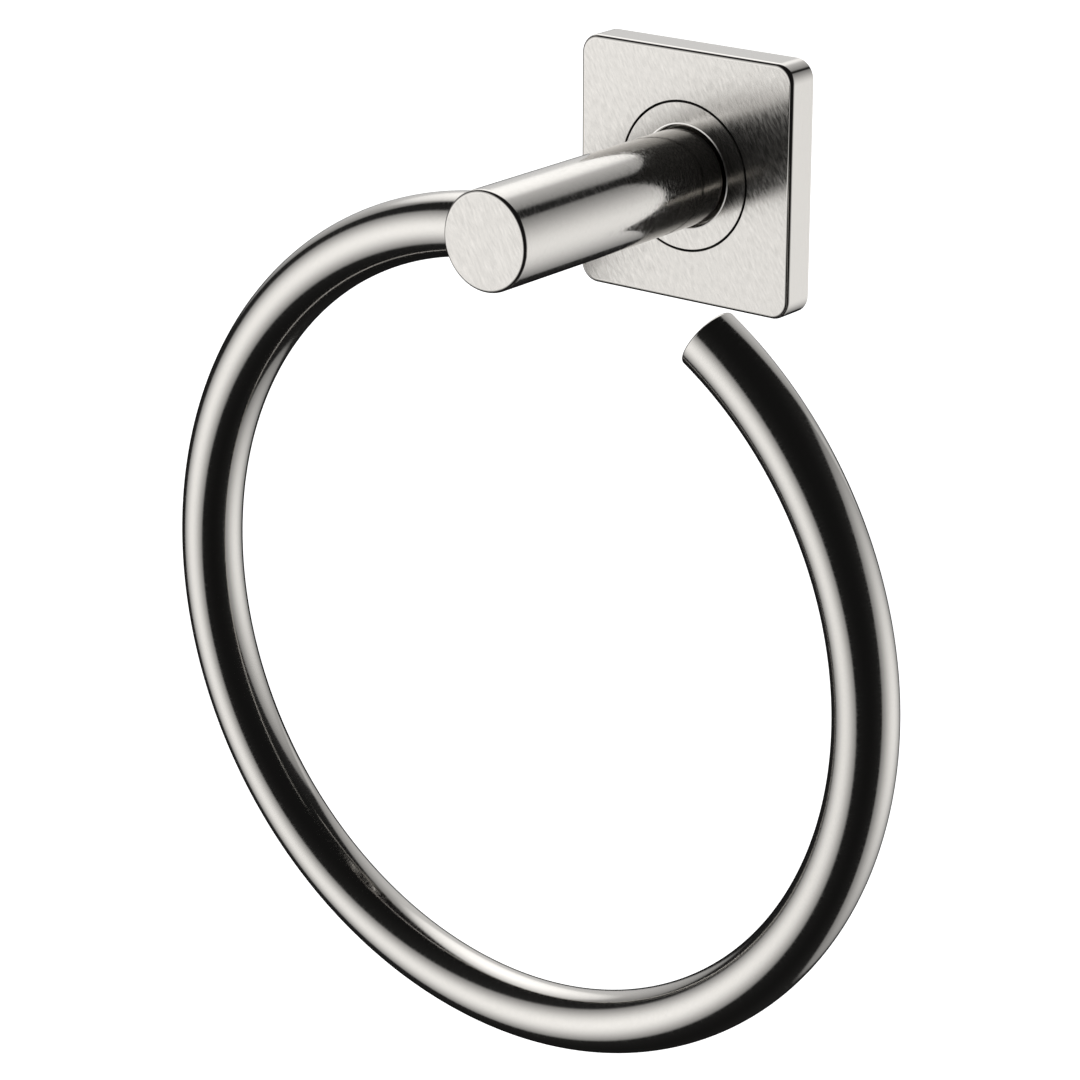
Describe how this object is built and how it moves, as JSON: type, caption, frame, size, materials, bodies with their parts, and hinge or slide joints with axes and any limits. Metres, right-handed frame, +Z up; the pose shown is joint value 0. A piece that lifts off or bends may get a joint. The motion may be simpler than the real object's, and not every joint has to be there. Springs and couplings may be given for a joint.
{
  "type": "towel ring",
  "caption": "Wall-mounted towel ring: a square cover plate, a round post standing out of it, and an open round ring of bent tube held in the post's side.",
  "frame": {"origin": "middle of the cover plate and of the wall bracket's screw pattern, on the wall's surface", "axes": "+X to the right for someone facing the wall, +Y into the wall, +Z up"},
  "size_m": [0.1766, 0.071, 0.1958],
  "materials": {
    "brushed_nickel": "satin nickel, fine straight brushing on the flat faces and turned round the post",
    "brushed_nickel_tube": "satin nickel, fine brushing round the tube",
    "plain_steel": "plain rolled steel, dull",
    "fastener_steel": "stainless steel, turned",
    "black_rubber": "matte black"
  },
  "bodies": {
    "root": {"cover_plate": "brushed_nickel", "wall_hub": "brushed_nickel", "post": "brushed_nickel", "ring": "brushed_nickel_tube", "ring_end_plug": "brushed_nickel_tube", "ring_root_plug": "plain_steel", "wall_bracket": "plain_steel", "hub_screw": "fastener_steel", "hub_dowel": "fastener_steel", "post_set_screw": "fastener_steel", "ring_fixing_screw": "fastener_steel", "lock_washer": "fastener_steel", "cover_o_ring": "black_rubber"}
  },
  "joints": []
}
